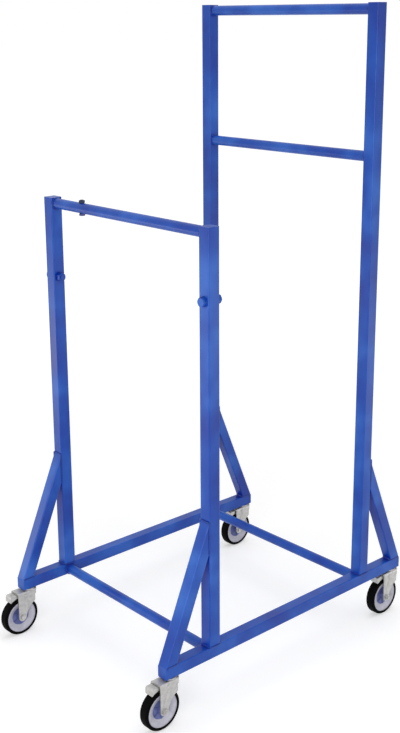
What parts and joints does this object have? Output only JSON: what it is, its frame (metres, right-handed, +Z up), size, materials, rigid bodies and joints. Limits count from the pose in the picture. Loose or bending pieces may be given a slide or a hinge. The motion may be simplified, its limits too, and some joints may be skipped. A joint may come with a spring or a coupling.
{
  "type": "rolling carton holder",
  "caption": "Rolling floor stand of blue square posts with a low front rail and two high rear rails, on braced side tubes with swivel casters, that holds flat cartons on edge.",
  "frame": {"origin": "On the floor under the middle of the footprint, all four wheels trailing to the front.", "axes": "+Z up; -Y is the front, the side of the low frame; +X is to the right as seen from the front."},
  "size_m": [0.6254, 0.8812, 1.591],
  "materials": {
    "frame_paint": "glossy blue powder coat on welded steel tube",
    "bolt_steel": "black oxide steel bolt and nut",
    "zinc_steel": "zinc-plated pressed steel",
    "tyre_rubber": "black moulded rubber",
    "rim_grey": "pale grey moulded polymer",
    "hub_plastic": "blue-grey moulded polymer"
  },
  "bodies": {
    "frame": {"base_tube_left": "frame_paint", "base_tube_right": "frame_paint", "brace_front_left": "frame_paint", "brace_front_right": "frame_paint", "brace_rear_left": "frame_paint", "brace_rear_right": "frame_paint", "post_front_left": "frame_paint", "post_front_right": "frame_paint", "post_rear_left": "frame_paint", "post_rear_right": "frame_paint", "post_caps": "frame_paint", "foot_caps": "frame_paint", "low_rail": "frame_paint", "mid_rail": "frame_paint", "high_rail": "frame_paint", "crossbar_front": "frame_paint", "crossbar_rear": "frame_paint", "cross_bolts": "frame_paint", "cross_bolt_washers": "frame_paint", "cross_bolt_nuts": "frame_paint", "rail_bolt": "bolt_steel", "rail_bolt_nut": "bolt_steel", "stem_nuts": "zinc_steel", "stem_front_left": "zinc_steel", "stem_front_right": "zinc_steel", "stem_rear_left": "zinc_steel", "stem_rear_right": "zinc_steel"},
    "caster_front_left": {"fork_front_left": "zinc_steel", "axle_front_left": "zinc_steel", "axle_nut_front_left": "zinc_steel", "brake_pin_front_left": "zinc_steel"},
    "wheel_front_left": {"tyre_front_left": "tyre_rubber", "rim_front_left": "rim_grey", "hub_front_left": "hub_plastic"},
    "brake_front_left": {"brake_lever_front_left": "zinc_steel"},
    "caster_front_right": {"fork_front_right": "zinc_steel", "axle_front_right": "zinc_steel", "axle_nut_front_right": "zinc_steel", "brake_pin_front_right": "zinc_steel"},
    "wheel_front_right": {"tyre_front_right": "tyre_rubber", "rim_front_right": "rim_grey", "hub_front_right": "hub_plastic"},
    "brake_front_right": {"brake_lever_front_right": "zinc_steel"},
    "caster_rear_left": {"fork_rear_left": "zinc_steel", "axle_rear_left": "zinc_steel", "axle_nut_rear_left": "zinc_steel", "brake_pin_rear_left": "zinc_steel"},
    "wheel_rear_left": {"tyre_rear_left": "tyre_rubber", "rim_rear_left": "rim_grey", "hub_rear_left": "hub_plastic"},
    "brake_rear_left": {"brake_lever_rear_left": "zinc_steel"},
    "caster_rear_right": {"fork_rear_right": "zinc_steel", "axle_rear_right": "zinc_steel", "axle_nut_rear_right": "zinc_steel", "brake_pin_rear_right": "zinc_steel"},
    "wheel_rear_right": {"tyre_rear_right": "tyre_rubber", "rim_rear_right": "rim_grey", "hub_rear_right": "hub_plastic"},
    "brake_rear_right": {"brake_lever_rear_right": "zinc_steel"}
  },
  "joints": [
    {"name": "swivel_front_left", "type": "hinge", "parent": "frame", "child": "caster_front_left", "pos_m": [-0.286, -0.3605, 0.121], "axis": [0, 0, 1], "continuous": true},
    {"name": "roll_front_left", "type": "hinge", "parent": "caster_front_left", "child": "wheel_front_left", "pos_m": [-0.286, -0.3905, 0.05], "axis": [1, 0, 0], "continuous": true},
    {"name": "brake_press_front_left", "type": "hinge", "parent": "caster_front_left", "child": "brake_front_left", "pos_m": [-0.286, -0.3791, 0.1083], "axis": [1, 0, 0], "range_deg": [0, 7.5]},
    {"name": "swivel_front_right", "type": "hinge", "parent": "frame", "child": "caster_front_right", "pos_m": [0.286, -0.3605, 0.121], "axis": [0, 0, 1], "continuous": true},
    {"name": "roll_front_right", "type": "hinge", "parent": "caster_front_right", "child": "wheel_front_right", "pos_m": [0.286, -0.3905, 0.05], "axis": [1, 0, 0], "continuous": true},
    {"name": "brake_press_front_right", "type": "hinge", "parent": "caster_front_right", "child": "brake_front_right", "pos_m": [0.286, -0.3791, 0.1083], "axis": [1, 0, 0], "range_deg": [0, 7.5]},
    {"name": "swivel_rear_left", "type": "hinge", "parent": "frame", "child": "caster_rear_left", "pos_m": [-0.286, 0.4195, 0.121], "axis": [0, 0, 1], "continuous": true},
    {"name": "roll_rear_left", "type": "hinge", "parent": "caster_rear_left", "child": "wheel_rear_left", "pos_m": [-0.286, 0.3895, 0.05], "axis": [1, 0, 0], "continuous": true},
    {"name": "brake_press_rear_left", "type": "hinge", "parent": "caster_rear_left", "child": "brake_rear_left", "pos_m": [-0.286, 0.4009, 0.1083], "axis": [1, 0, 0], "range_deg": [0, 7.5]},
    {"name": "swivel_rear_right", "type": "hinge", "parent": "frame", "child": "caster_rear_right", "pos_m": [0.286, 0.4195, 0.121], "axis": [0, 0, 1], "continuous": true},
    {"name": "roll_rear_right", "type": "hinge", "parent": "caster_rear_right", "child": "wheel_rear_right", "pos_m": [0.286, 0.3895, 0.05], "axis": [1, 0, 0], "continuous": true},
    {"name": "brake_press_rear_right", "type": "hinge", "parent": "caster_rear_right", "child": "brake_rear_right", "pos_m": [0.286, 0.4009, 0.1083], "axis": [1, 0, 0], "range_deg": [0, 7.5]}
  ]
}
